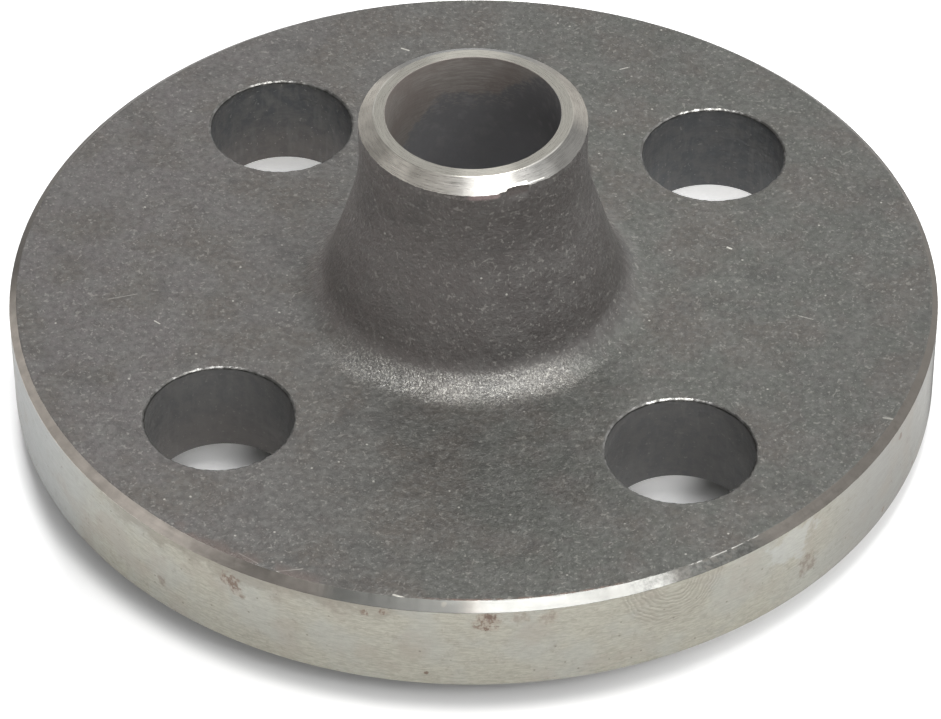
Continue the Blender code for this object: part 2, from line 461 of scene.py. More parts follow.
def add_rim(shell):
    """From the back face out over the chamfer and down to the front; returns the first and the last ring."""
    rim_top = BACK_FACE - CHAMFER_DROP
    rim_foot = GASKET_HEIGHT + FRONT_CHAMFER
    rim = (
        (circle(PLATE_RADIUS - 3.0 * MM, BACK_FACE), SKIN),
        (lambda angle: towards(angle, chamfer_inner(angle) - 0.25 * MM, BACK_FACE), SKIN),
        (lambda angle: towards(angle, chamfer_inner(angle) - CHAMFER_EDGE, BACK_FACE), SKIN),
        (chamfer_point(0.02), CHAMFER),
        (chamfer_point(0.06), CHAMFER),
        (chamfer_point(0.5), CHAMFER),
        (chamfer_point(0.95), CHAMFER),
        (chamfer_point(0.985), CHAMFER),
        (circle(PLATE_RADIUS, rim_top - CHAMFER_EDGE), RIM),
        (circle(PLATE_RADIUS, rim_top - 2 * CHAMFER_EDGE), RIM),
        (circle(PLATE_RADIUS, rim_top - 0.5 * MM), RIM),
        (circle(PLATE_RADIUS, (BACK_FACE + GASKET_HEIGHT) / 2), RIM),
        (circle(PLATE_RADIUS, rim_foot + 0.3 * MM), RIM),
        (circle(PLATE_RADIUS, rim_foot), RIM),
        (circle(PLATE_RADIUS - FRONT_CHAMFER, GASKET_HEIGHT), FACE),
        (circle(PLATE_RADIUS - FRONT_CHAMFER - 0.3 * MM, GASKET_HEIGHT), FACE),
    )
    return shell.rings([point for point, _ in rim], RIM_SEGMENTS, [place for _, place in rim])


def add_bolt_hole(shell, centre):
    """The wall of one bolt hole with its ragged lip; returns its highest and its lowest ring."""
    wall = (
        (0.9, BACK_FACE, 0.0, SKIN),
        (0.45, BACK_FACE, 0.0, SKIN),
        (0.24, BACK_FACE - 0.01 * MM, 0.14, LIP),
        (0.12, BACK_FACE - 0.05 * MM, 0.12, LIP),
        (0.03, BACK_FACE - 0.14 * MM, 0.08, LIP),
        (0.0, BACK_FACE - 0.30 * MM, 0.05, DRILLED),
        (0.0, BACK_FACE - 0.8 * MM, 0.0, DRILLED),
        (0.0, GASKET_HEIGHT + 1.0 * MM, 0.0, DRILLED),
        (0.0, GASKET_HEIGHT + 0.15 * MM, 0.0, DRILLED),
        (0.15, GASKET_HEIGHT, 0.0, FACE),
        (0.5, GASKET_HEIGHT, 0.0, FACE),
    )
    points = [hole_point(centre, reach * MM, height, ragged * MM) for reach, height, ragged, _ in wall]
    return shell.rings(points, HOLE_SEGMENTS, [place for *_, place in wall])


def forging():
    """The whole flange as one closed mesh."""
    shell = Shell()
    neck_foot, bevel_edge = add_neck(shell)
    front_inner = add_turned_inside(shell, bevel_edge)
    rim_inner, rim_under = add_rim(shell)
    back_loops = [rim_inner, neck_foot]
    front_loops = [rim_under, front_inner]
    for centre in hole_centres():
        upper, lower = add_bolt_hole(shell, centre)
        back_loops.append(upper)
        front_loops.append(lower)
    shell.sheet(back_loops, UP, SKIN)
    shell.sheet(front_loops, -UP, FACE)

    bmesh.ops.recalc_face_normals(shell.mesh, faces=shell.mesh.faces)
    data = bpy.data.meshes.new("forging")
    shell.mesh.to_mesh(data)
    shell.mesh.free()
    data.set_sharp_from_angle(angle=math.radians(28))
    forged = bpy.data.objects.new("forging", data)
    bpy.context.scene.collection.objects.link(forged)
    return forged


class Finish:
    """The nodes of one material. Lengths are millimetres on the forging; each method gives an output."""

    def __init__(self, name, metallic=1.0):
        self.material = bpy.data.materials.new(name)
        self.material.use_nodes = True
        self.nodes = self.material.node_tree.nodes
        self.links = self.material.node_tree.links
        self.shader = self.nodes["Principled BSDF"]
        self.shader.inputs["Metallic"].default_value = metallic
        coordinates = self.add("TexCoord", {}, "Object")
        self.place = self.add("VectorMath", {0: coordinates, "Scale": 1 / MM}, operation="SCALE")
        self.x, self.y, self.z = self.parts(self.place)
        flat = self.add("CombineXYZ", {0: self.x, 1: self.y, 2: 0.0})
        self.out = self.add("VectorMath", {0: flat}, operation="NORMALIZE")
        self.radius = self.add("VectorMath", {0: flat}, "Value", operation="LENGTH")

    def add(self, kind, inputs, output=0, **settings):
        node = self.nodes.new("ShaderNode" + kind)
        for key, value in settings.items():
            setattr(node, key, value)
        for key, value in inputs.items():
            if isinstance(value, bpy.types.NodeSocket):
                self.links.new(value, node.inputs[key])
            else:
                node.inputs[key].default_value = value
        return node.outputs[output]

    def parts(self, vector):
        node = self.nodes.new("ShaderNodeSeparateXYZ")
        self.links.new(vector, node.inputs[0])
        return node.outputs

    def maths(self, operation, a, b=0.0):
        return self.add("Math", {0: a, 1: b}, operation=operation)

    def times(self, a, b):
        return self.maths("MULTIPLY", a, b)

    def plus(self, a, b):
        return self.maths("ADD", a, b)

    def either(self, a, b):
        return self.maths("MAXIMUM", a, b)

    def fade(self, value, start, end, low=0.0, high=1.0):
        """low up to start, high from end on, eased between; start may be the greater."""
        inputs = {0: value, 1: start, 2: end, 3: low, 4: high}
        return self.add("MapRange", inputs, interpolation_type="SMOOTHSTEP")

    def mix(self, share, first, second):
        """The colour first, giving way to second by share."""
        inputs = {0: share}
        for socket, colour in ((6, first), (7, second)):
            inputs[socket] = colour if isinstance(colour, bpy.types.NodeSocket) else (*colour, 1.0)
        return self.add("Mix", inputs, 2, data_type="RGBA")

    def lit(self, tone, light):
        """The colour tone, lighter or darker by the factor light."""
        return self.add("VectorMath", {0: tone, "Scale": light}, operation="SCALE")

    def grain(self, scale, detail=2.0, seed=0.0, on=None, roughness=0.5):
        """Noise with scale lumps a millimetre, or a unit of the place that on gives."""
        shifted = self.add("VectorMath", {0: on or self.place, 1: (seed, seed * 1.7, -seed)}, operation="ADD")
        inputs = {"Vector": shifted, "Scale": scale, "Detail": detail, "Roughness": roughness}
        return self.add("TexNoise", inputs)

    def turned(self, along, across, of):
        """A place for marks round the axis: along sets how soon they change, across how fine they are."""
        around = self.add("VectorMath", {0: self.out, "Scale": along}, operation="SCALE")
        x, y, _ = self.parts(around)
        return self.add("CombineXYZ", {0: x, 1: y, 2: self.times(of, across)})

    def stretched(self, x, y, z):
        return self.add("VectorMath", {0: self.place, 1: (x, y, z)}, operation="MULTIPLY")

    def facing_share(self, degrees):
        """1 in a direction round the axis, falling to -1 opposite it."""
        direction = towards(math.radians(degrees), 1.0, 0.0)
        return self.add("VectorMath", {0: self.out, 1: direction}, "Value", operation="DOT_PRODUCT")

    def facing(self, degrees, full, none):
        """1 within full degrees of a direction round the axis, 0 beyond none."""
        share = self.facing_share(degrees)
        return self.fade(share, math.cos(math.radians(none)), math.cos(math.radians(full)))

    def round_turn(self, table, most):
        """What a table of (degrees, value) gives for the direction round the axis; no value is above most."""
        turn = self.times(self.maths("ARCTAN2", self.y, self.x), 1 / (2 * math.pi))
        node = self.nodes.new("ShaderNodeValToRGB")
        stops = node.color_ramp.elements
        stops[0].position, stops[1].position = 0.0, 1.0
        for degrees, _ in table[1:-1]:
            stops.new(degrees / 360)
        for stop, (_, value) in zip(stops, table):
            stop.color = (value / most, value / most, value / most, 1.0)
        self.links.new(self.maths("FRACT", self.plus(turn, 1.0)), node.inputs[0])
        return self.times(node.outputs["Color"], most)

    def spot(self, centre, reach, ragged=0.3, squash=(1.0, 1.0, 1.0), lumps=1.5):
        """1 in a ragged patch about centre."""
        away = self.add("VectorMath", {0: self.place, 1: centre}, operation="SUBTRACT")
        scaled = self.add("VectorMath", {0: away, 1: squash}, operation="MULTIPLY")
        length = self.add("VectorMath", {0: scaled}, "Value", operation="LENGTH")
        rough = self.times(self.plus(self.grain(lumps, 4.0), -0.5), ragged * reach * 4)
        return self.fade(self.plus(length, rough), reach, reach * 0.55)

    def specks(self, scale, seed, reach, cover):
        """Separate flecks, one in a share cover of cells 1 / scale mm apart; reach is in cells."""
        shifted = self.add("VectorMath", {0: self.place, 1: (seed, -seed, seed * 0.7)}, operation="ADD")
        cells = self.nodes.new("ShaderNodeTexVoronoi")
        self.links.new(shifted, cells.inputs["Vector"])
        cells.inputs["Scale"].default_value = scale
        chosen = self.fade(self.parts(cells.outputs["Color"])[0], 1.0 - cover, 1.01 - cover)
        return self.times(chosen, self.fade(cells.outputs["Distance"], reach, reach * 0.4))

    def streak(self, start, end, width):
        """1 along a thin mark from start to end, two places in mm."""
        along = Vector(end) - Vector(start)
        from_start = self.add("VectorMath", {0: self.place, 1: start}, operation="SUBTRACT")
        along_it = self.add("VectorMath", {0: from_start, 1: along}, "Value", operation="DOT_PRODUCT")
        share = self.add("MapRange", {0: along_it, 1: 0.0, 2: along.length_squared, 3: 0.0, 4: 1.0})
        foot = self.add("VectorMath", {0: along, "Scale": share}, operation="SCALE")
        away = self.add("VectorMath", {0: from_start, 1: foot}, "Value", operation="DISTANCE")
        return self.fade(away, width, width * 0.3)

    def hole_side(self, degrees):
        """1 at the side of each bolt hole that lies towards degrees, falling to -1 opposite."""
        side = towards(math.radians(degrees), 1.0, 0.0)
        centre = BOLT_CIRCLE_RADIUS / MM * math.sqrt(0.5)
        local = [self.plus(axis, self.times(self.maths("SIGN", axis), -centre)) for axis in (self.x, self.y)]
        reach = self.plus(self.times(local[0], side.x), self.times(local[1], side.y))
        return self.times(reach, MM / HOLE_RADIUS)

    def bump(self, height, distance):
        inputs = {"Strength": 1.0, "Distance": distance * MM, "Height": height}
        if self.shader.inputs["Normal"].is_linked:
            inputs["Normal"] = self.shader.inputs["Normal"].links[0].from_socket
        self.links.new(self.add("Bump", inputs), self.shader.inputs["Normal"])

    def edge_tint(self, value):
        """Holds back the mirror-like brightness of the metal where it is seen edge on."""
        self.shader.inputs["Specular Tint"].default_value = (value, value, value, 1.0)

    def feed(self, name, value):
        self.links.new(value, self.shader.inputs[name])

    def colour(self, value):
        self.feed("Base Color", value)

    def roughness(self, value):
        self.feed("Roughness", value)

    def hairs(self, scale, seed, width, cover):
        """Short curved hairlines: contour lines of one noise, cut into lengths by another."""
        field = self.grain(scale, 1.0, seed)
        line = self.fade(self.maths("ABSOLUTE", self.plus(field, -0.5)), width, width * 0.3)
        kept = self.fade(self.grain(scale * 1.6, 1.0, seed + 31.0), 1.0 - cover, 1.06 - cover)
        return self.times(line, kept)


def skin():
    """Raw forged skin: dark scale with a soft grain, cloudy stains, curved hairs and a few bright flecks;
    with a painted sheen and painted glints on the front of the fillet, painted light and shade on the neck's
    two sides, painted shade in the nick and painted light on the pinkish burr below the bevel.
    """
    made = Finish("skin", metallic=0.35)
    tone = made.mix(made.fade(made.x, 15.0, -40.0), GREEN_SCALE, VIOLET_SCALE)
    tone = made.mix(made.fade(made.grain(0.13, 3.0, 5.0), 0.44, 0.62, 0.0, 0.8), tone, BROWN_SCALE)
    tone = made.mix(made.fade(made.grain(0.5, 2.0, 15.0), 0.50, 0.70, 0.0, 0.45), tone, WARM_SCALE)
    # Painted light and shade: the neck is coloured lighter on its left and darker on its right, against the
    # light that is stronger from the right
    neck = made.mix(made.fade(made.x, 10.0, -12.0), NECK_RIGHT_PAINTED_SHADE, NECK_LEFT_PAINTED_LIGHT)
    tone = made.mix(made.fade(made.radius, 17.6, 15.4), tone, neck)
    drawn = made.stretched(0.95, 0.95, 1.0)
    flat = made.fade(made.radius, 15.0, 17.5, 0.5, 1.0)
    cloud = made.fade(made.grain(0.3, 3.0, 9.0), 0.42, 0.66, 0.0, 0.30)
    tone = made.mix(made.times(cloud, flat), tone, LIGHT_SCALE)
    pits = made.fade(made.grain(1.5, 3.0, 2.0, drawn, 0.6), 0.36, 0.64, 0.38, 0.0)
    tone = made.mix(made.times(pits, flat), tone, PIT_SCALE)
    light = made.fade(made.grain(1.6, 2.0, 52.0, drawn), 0.48, 0.66, 0.0, 0.40)
    tone = made.mix(made.times(light, flat), tone, LIGHT_SCALE)
    outer = made.times(made.fade(made.radius, 25.0, 42.0, 0.0, 0.12), made.fade(made.y, -35.0, -15.0))
    tone = made.mix(outer, tone, PIT_SCALE)
    tone = made.mix(made.fade(made.grain(0.22, 3.0, 71.0), 0.57, 0.68, 0.0, 0.25), tone, PIT_SCALE)
    hairs = made.either(made.hairs(0.85, 3.0, 0.045, 0.40), made.hairs(1.3, 17.0, 0.055, 0.38))
    flecks = made.either(made.specks(1.3, 4.0, 0.22, 0.45), made.specks(2.4, 9.0, 0.26, 0.30))
    tone = made.mix(made.times(made.either(hairs, flecks), 0.18), tone, PALE_FLECK_AND_GLINT)
    marks = made.times(made.specks(0.8, 14.0, 0.13, 0.14), 0.6)
    height = BACK_FACE / MM
    for first, last, width, strength in SKIN_MARKS:
        mark = made.streak((*first, height), (*last, height), width)
        marks = made.either(marks, made.times(mark, strength))
    tone = made.mix(marks, tone, PALE_FLECK_AND_GLINT)
    fringe = made.times(made.fade(made.radius, 45.95, 46.2), made.facing(282.5, 9.0, 14.0))
    fringe = made.times(fringe, made.fade(made.grain(1.4, 2.0, 5.0), 0.40, 0.60, 0.1, 0.5))
    tone = made.mix(fringe, tone, FRINGE)
    smudge = made.times(made.fade(made.radius, 44.6, 46.2), made.facing(247.0, 8.0, 13.0))
    smudge = made.times(smudge, made.fade(made.grain(0.45, 2.0, 7.0), 0.42, 0.58))
    tone = made.mix(made.times(smudge, 0.7), tone, SMUDGE)
    # The nick: brown like the raw skin, and darkened as painted shade in its hollow
    broken = made.times(made.facing(298.5, 5.0, 6.4), made.fade(made.z, 33.1, 33.5))
    tone = made.mix(made.times(broken, 0.85), tone, NICK_BROWN_AND_SHADE)
    # A pinkish burr below the bevel's edge at the front, painted lighter where the highlight above spills
    # onto it
    burr_gleam = made.times(made.facing(281.5, 5.5, 9.0), made.fade(made.z, 33.2, 33.6))
    tone = made.mix(made.times(burr_gleam, 0.85), tone, BURR_PINK_AND_GLEAM)
    # Painted sheen: the front of the fillet, where its highlight falls, is coloured lighter and sprinkled
    # with painted pale glints; it is also made smoother there
    fillet_sheen = made.times(made.fade(made.radius, 15.4, 16.1), made.fade(made.radius, 20.0, 17.8))
    fillet_sheen = made.times(fillet_sheen, made.facing(270.0, 26.0, 57.0))
    sparkle = made.grain(4.2, 3.0, 26.0, roughness=0.8)
    tone = made.mix(made.times(fillet_sheen, 0.16), tone, FILLET_PAINTED_SHEEN)
    tone = made.mix(made.times(fillet_sheen, made.fade(sparkle, 0.50, 0.62, 0.0, 0.55)), tone, PALE_FLECK_AND_GLINT)
    made.colour(tone)
    rough = made.fade(made.grain(2.2, 2.0, 8.0), 0.35, 0.7, 0.36, 0.50)
    made.roughness(made.plus(rough, made.times(fillet_sheen, -0.13)))
    made.bump(made.grain(0.45, 2.0, 4.0), 0.13)
    made.bump(made.grain(2.2, 3.0, 6.0, roughness=0.7), 0.10)
    made.bump(made.times(sparkle, fillet_sheen), 0.07)
    return made.material


def rim():
    """The turned edge of the plate: satin steel with a fine grain, clouded and stained, with rust blots."""
    made = Finish("rim")
    made.feed("Specular Tint", made.mix(made.facing(6.0, 8.0, 13.0), [EDGE_TINT] * 3, [EDGE_TINT_SHADED] * 3))
    lines = made.grain(1.0, 4.0, 1.0, made.turned(26.0, 5.0, made.z), 0.6)
    fine = made.grain(1.0, 4.0, 45.0, made.turned(62.0, 5.0, made.z), 0.7)
    tone = made.mix(made.fade(fine, 0.32, 0.68, 0.25, 0.78), RIM_DEEP, RIM_STEEL)
    tone = made.mix(made.fade(lines, 0.5, 0.7, 0.0, 0.40), tone, RIM_DEEP)
    tone = made.mix(made.fade(made.grain(0.14, 3.0, 2.0), 0.46, 0.62, 0.0, 0.45), tone, RIM_PALE)
    # Painted reflection: the far left of the rim, seen edge on, is coloured a cold bluish grey
    tone = made.mix(made.facing(195.0, 14.0, 34.0), tone, RIM_LEFT_PAINTED_REFLECTION)
    # Painted shade: the right of the rim is coloured darker, and its far right end darker still
    tone = made.mix(made.facing(352.0, 16.0, 34.0), tone, RIM_RIGHT_PAINTED_SHADE)
    tone = made.mix(made.fade(made.grain(0.22, 4.0, 12.0), 0.50, 0.66, 0.0, 0.40), tone, RIM_WARM)
    stains = made.grain(1.1, 5.0, 25.0, roughness=0.7)
    tone = made.mix(made.fade(stains, 0.54, 0.72, 0.0, 0.36), tone, RIM_STAIN)
    arcs = cutter_arcs(made)
    tone = made.mix(made.fade(arcs, -0.6, 1.4, 0.0, 0.30), tone, RIM_STAIN)
    tone = made.mix(made.times(made.specks(1.0, 23.0, 0.16, 0.3), 0.8), tone, RIM_STAIN)
    pale = towards(math.radians(317.0), PLATE_RADIUS / MM, 9.8)
    pale = made.spot(pale, 3.6, 0.6, (1.0, 1.0, 1.3), 0.7)
    tone = made.mix(made.times(pale, 0.45), tone, RIM_BRIGHT)
    top = made.plus(made.z, made.times(made.plus(made.grain(0.6, 4.0, 51.0, roughness=0.65), -0.5), 5.0))
    brown = made.times(made.fade(top, 10.3, 11.6), made.facing(247.0, 14.0, 24.0))
    tone = made.mix(made.times(brown, 0.50), tone, RIM_STAIN)
    tone = made.mix(made.facing(4.0, 5.0, 15.0), tone, RIM_SHADED)
    rust = 0.0
    for degrees, height, reach, strength in RIM_RUST:
        blot = made.spot(towards(math.radians(degrees), PLATE_RADIUS / MM, height), reach, 0.5)
        rust = made.either(rust, made.times(blot, strength))
    clots = made.grain(1.5, 4.0, 33.0, made.stretched(1.0, 1.0, 0.7), 0.7)
    tone = made.mix(made.times(rust, 0.5), tone, RUST_HAZE)
    tone = made.mix(made.times(rust, made.fade(clots, 0.42, 0.58, 0.0, 0.8)), tone, RUST)
    made.colour(tone)
    made.roughness(made.fade(lines, 0.2, 0.8, 0.34, 0.48))
    made.bump(made.plus(made.times(lines, 0.4), made.times(arcs, 0.4)), 0.03)
    made.bump(fine, 0.02)
    made.bump(made.grain(0.6, 4.0, 3.0), 0.06)
    return made.material


def cutter_arcs(made):
    """Curved marks, as waves between 0 and 2 that die out round the stretch of rim that has them."""
    centre = towards(math.radians(ARCS_DIRECTION), PLATE_RADIUS / MM, ARCS_HEIGHT)
    away = made.add("VectorMath", {0: made.place, 1: centre}, "Value", operation="DISTANCE")
    wobble = made.times(made.grain(0.5, 2.0, 21.0), 1.6)
    ripple = made.maths("SINE", made.times(made.plus(away, wobble), 2 * math.pi / ARCS_PITCH))
    outside = made.fade(away, ARCS_OUTER, ARCS_OUTER - 1.5)
    inside = made.fade(away, ARCS_INNER, ARCS_INNER + 0.7)
    return made.times(made.plus(ripple, 1.0), made.times(outside, inside))


def chamfer():
    """The turned chamfer: dull at the back, much paler at the left, painted darker as shade on either side of
    the front's highlight, and clean at the front.
    """
    made = Finish("chamfer")
    made.edge_tint(EDGE_TINT)
    tone = made.mix(made.facing(216.0, 14.0, 34.0), CHAMFER_DULL, CHAMFER_LEFT_PALE)
    # Painted shade: the chamfer is coloured darker on either side of the front's highlight
    tone = made.mix(made.facing(267.0, 6.5, 10.5), tone, CHAMFER_PAINTED_SHADE)
    tone = made.mix(made.facing(287.0, 9.0, 12.0), tone, CHAMFER_CLEAN)
    tone = made.mix(made.facing(296.5, 2.5, 5.0), tone, CHAMFER_BRIGHT)
    tone = made.mix(made.facing(306.5, 3.0, 8.0), tone, CHAMFER_PAINTED_SHADE)
    lines = made.grain(1.0, 3.0, 1.0, made.turned(10.0, 5.0, made.radius), 0.6)
    clouds = made.grain(0.8, 4.0, 7.0, roughness=0.6)
    texture = made.times(made.fade(clouds, 0.3, 0.7, 1.05, 0.95), made.fade(lines, 0.3, 0.7, 0.98, 1.02))
    blotches = made.fade(made.grain(0.45, 4.0, 57.0, roughness=0.6), 0.34, 0.66, -0.12, 0.12)
    texture = made.times(texture, made.plus(made.times(blotches, made.facing(222.0, 26.0, 40.0)), 1.0))
    mottle = made.fade(made.grain(2.2, 4.0, 17.0, roughness=0.7), 0.34, 0.66, -0.26, 0.30)
    texture = made.times(texture, made.plus(made.times(mottle, made.facing(303.5, 6.0, 10.0)), 1.0))
    tone = made.lit(tone, texture)
    streak = made.streak((-22.3, -41.9, 12.4), (-20.4, -42.8, 12.3), 0.22)
    tone = made.mix(made.times(streak, 0.7), tone, CHAMFER_SPOT)
    right = made.facing(325.0, 20.0, 27.0)
    dark = made.times(right, made.fade(made.grain(1.3, 3.0, 27.0), 0.50, 0.66, 0.0, 0.45))
    tone = made.mix(dark, tone, CHAMFER_SPOT)
    speck = made.spot((2.1, -46.6, 12.4), 0.30, 0.4)
    tone = made.mix(made.times(speck, 0.6), tone, CHAMFER_SPOT)
    # Painted highlight: a thin broken bright line along the chamfer's inner edge at the front right
    edge = made.times(made.fade(made.z, 12.53, 12.57), made.facing(308.0, 4.0, 6.0))
    edge = made.times(edge, made.fade(made.grain(1.6, 2.0, 19.0), 0.42, 0.52))
    tone = made.mix(made.times(edge, 0.35), tone, BRIGHT_STEEL_AND_GLINT)
    made.colour(tone)
    made.roughness(made.fade(lines, 0.2, 0.8, 0.32, 0.40))
    made.bump(made.times(clouds, right), 0.03)
    return made.material


def weld_end():
    """Bevel and land of the weld end: turned, with fine concentric lines; the land is coloured lighter than
    the bevel, with a painted highlight at its front and along the ridge between them.
    """
    made = Finish("weld_end")
    made.edge_tint(EDGE_TINT_TURNED)
    lines = made.grain(1.0, 3.0, 1.0, made.turned(5.0, 12.0, made.radius), 0.6)
    scratches = made.grain(1.0, 2.0, 41.0, made.turned(12.0, 16.0, made.radius), 0.6)
    land = made.fade(made.radius, LAND_RADIUS / MM + 0.14, LAND_RADIUS / MM - 0.06)
    # Painted highlight: a bright line along the edge between land and bevel, at the left and at the front
    # right
    ridge_glint = made.fade(made.maths("ABSOLUTE", made.plus(made.radius, -LAND_RADIUS / MM)), 0.12, 0.02)
    ridge_glint = made.times(ridge_glint, made.either(made.facing(168.0, 12.0, 26.0), made.facing(322.0, 8.0, 20.0)))
    slope = made.mix(made.facing(203.0, 32.0, 72.0), BEVEL_BARE, BEVEL_LEFT_PALE)
    slope = made.mix(made.facing(231.0, 3.0, 12.0), slope, BEVEL_PALE)
    slope = made.mix(made.facing(312.0, 3.0, 13.0), slope, BEVEL_COLD)
    slope = made.mix(made.facing(30.0, 15.0, 40.0), slope, BEVEL_FAR)
    slope = made.lit(slope, made.fade(made.grain(0.5, 4.0, 5.0), 0.40, 0.66, 1.06, 0.90))
    # Painted highlight: the land is coloured brighter at the front, where the bevel's highlight falls
    clean = made.mix(made.facing(284.0, 8.0, 22.0), LAND_STEEL, LAND_PAINTED_HIGHLIGHT)
    clean = made.mix(made.facing(98.0, 8.0, 30.0), clean, LAND_FAR)
    texture = made.times(made.fade(lines, 0.3, 0.7, 0.92, 1.08), made.fade(scratches, 0.60, 0.72, 1.0, 1.18))
    texture = made.times(texture, made.fade(scratches, 0.42, 0.30, 1.0, 0.84))
    tone = made.lit(made.mix(land, slope, clean), texture)
    tone = made.mix(made.times(ridge_glint, 0.55), tone, BRIGHT_STEEL_AND_GLINT)
    dots = made.times(made.specks(2.6, 15.0, 0.20, 0.5), made.facing(150.0, 14.0, 22.0))
    tone = made.mix(made.times(dots, 0.7), tone, BEVEL_STAIN)
    burr = made.times(made.facing(299.0, 5.0, 6.0), made.fade(made.radius, 11.02, 11.10))
    tone = made.mix(burr, tone, BRIGHT_STEEL_AND_GLINT)
    burr = made.streak((5.9, -9.75, 34.15), (7.9, -8.25, 34.1), 0.09)
    tone = made.mix(burr, tone, BRIGHT_STEEL_AND_GLINT)
    made.colour(tone)
    made.roughness(made.fade(lines, 0.2, 0.8, 0.24, 0.35))
    made.bump(lines, 0.004)
    made.bump(made.grain(0.22, 2.0, 5.0), 0.05)
    return made.material


def bore():
    """Bore: brown and finely ringed where the boring tool reached, dark scale below an uneven border."""
    made = Finish("bore", metallic=0.4)
    rings = made.grain(1.0, 3.0, 1.0, made.turned(5.0, 11.0, made.z), 0.6)
    uneven = made.times(made.plus(made.grain(0.6, 5.0, 3.0, roughness=0.65), -0.5), 4.0)
    border = made.plus(made.round_turn(BORE_BORDER, HIGH.z / MM + 1.0), uneven)
    cut = made.fade(made.maths("SUBTRACT", made.z, border), -0.4, 0.4)
    tone = made.mix(made.fade(rings, 0.38, 0.66, 0.0, 0.95), BORE_BROWN, BORE_PALE)
    tone = made.mix(made.fade(made.grain(0.3, 3.0, 14.0), 0.45, 0.65, 0.0, 0.5), tone, BORE_WARM)
    # Painted light: the dark scale is coloured lighter the deeper it lies in the bore, and on its right,
    # where the bore gets less light
    scale = made.mix(made.fade(made.z, 33.0, 12.0), BORE_DARK, BORE_DEPTH_PAINTED_LIGHT)
    right = made.times(made.fade(made.x, -1.0, 8.0, 0.0, 0.6), made.fade(made.z, 30.0, 23.0))
    scale = made.mix(right, scale, BORE_DEPTH_PAINTED_LIGHT)
    scale = made.mix(made.fade(made.grain(0.8, 4.0, 4.0), 0.50, 0.72, 0.0, 0.35), scale, BORE_SPECK)
    near = made.fade(made.maths("ABSOLUTE", made.maths("SUBTRACT", made.z, border)), 2.4, 0.6)
    hatch = made.fade(made.grain(1.0, 2.0, 12.0, made.turned(16.0, 5.0, made.z)), 0.52, 0.60)
    made.colour(made.mix(made.times(made.times(near, hatch), 0.50), made.mix(cut, scale, tone), BORE_PALE))
    made.roughness(made.fade(rings, 0.2, 0.8, 0.44, 0.6))
    made.bump(made.times(rings, cut), 0.016)
    made.bump(made.grain(1.2, 4.0, 9.0), 0.06)
    return made.material


def drilled():
    """Bolt hole walls: drilled, then dulled to an uneven dark grey, darkest just under the lip."""
    made = Finish("drilled", metallic=0.5)
    rings = made.grain(1.0, 3.0, 1.0, made.stretched(0.5, 0.5, 2.2))
    tone = made.mix(made.fade(rings, 0.3, 0.7, 0.0, 0.4), DRILL_DARK, DRILL_LIGHT)
    clouds = made.grain(0.7, 4.0, 26.0, roughness=0.65)
    tone = made.mix(made.fade(clouds, 0.42, 0.62, 0.0, 0.8), tone, DRILL_COLD)
    brown = made.times(made.fade(made.x, 0.0, -20.0), made.fade(made.z, 9.0, 4.0))
    tone = made.mix(made.times(brown, 0.35), tone, DRILL_BROWN)
    streaks = made.grain(1.0, 3.0, 31.0, made.stretched(1.6, 1.6, 0.35))
    tone = made.mix(made.fade(streaks, 0.5, 0.7, 0.0, 0.3), tone, DRILL_LIGHT)
    under = made.fade(made.plus(made.z, made.times(made.grain(1.2, 3.0, 61.0), 2.4)), 12.2, 13.4, 0.0, 0.25)
    tone = made.mix(under, tone, PIT_SCALE)
    tone = made.mix(made.times(made.hairs(1.5, 5.0, 0.06, 0.36), 0.30), tone, PALE_FLECK_AND_GLINT)
    tone = made.mix(made.fade(made.y, 5.0, -5.0, 0.0, 0.35), tone, DRILL_PALE)
    deep = made.times(made.fade(made.y, -5.0, 5.0), made.fade(made.x, -5.0, 5.0, 0.0, 0.3))
    tone = made.mix(deep, tone, DRILL_DEEP)
    made.colour(tone)
    made.roughness(made.fade(rings, 0.2, 0.8, 0.42, 0.6))
    made.bump(made.grain(1.2, 4.0, 9.0), 0.08)
    return made.material


def gasket_face():
    """Front of the plate and the raised gasket face, turned; the raised face has a fine spiral groove."""
    made = Finish("gasket_face")
    lines = made.grain(1.0, 3.0, 1.0, made.turned(2.5, 9.0, made.radius), 0.6)
    fine = made.grain(1.0, 2.0, 11.0, made.turned(14.0, 16.0, made.radius), 0.6)
    groove = made.maths("SINE", made.times(made.radius, 2 * math.pi / GROOVE_PITCH))
    raised = made.fade(made.z, 1.0, 0.5)
    tone = made.mix(made.fade(lines, 0.3, 0.7), FACE_DEEP, FACE_STEEL)
    tone = made.mix(made.fade(fine, 0.4, 0.7, 0.0, 0.5), tone, FACE_DEEP)
    tone = made.mix(made.fade(made.grain(0.12, 4.0, 12.0), 0.46, 0.70, 0.0, 0.5), tone, RIM_WARM)
    stains = made.grain(0.9, 4.0, 43.0, roughness=0.7)
    tone = made.mix(made.fade(stains, 0.60, 0.72, 0.0, 0.4), tone, RIM_STAIN)
    made.colour(tone)
    made.roughness(made.fade(lines, 0.2, 0.8, 0.32, 0.46))
    made.bump(made.times(groove, raised), 0.05)
    made.bump(lines, 0.015)
    return made.material


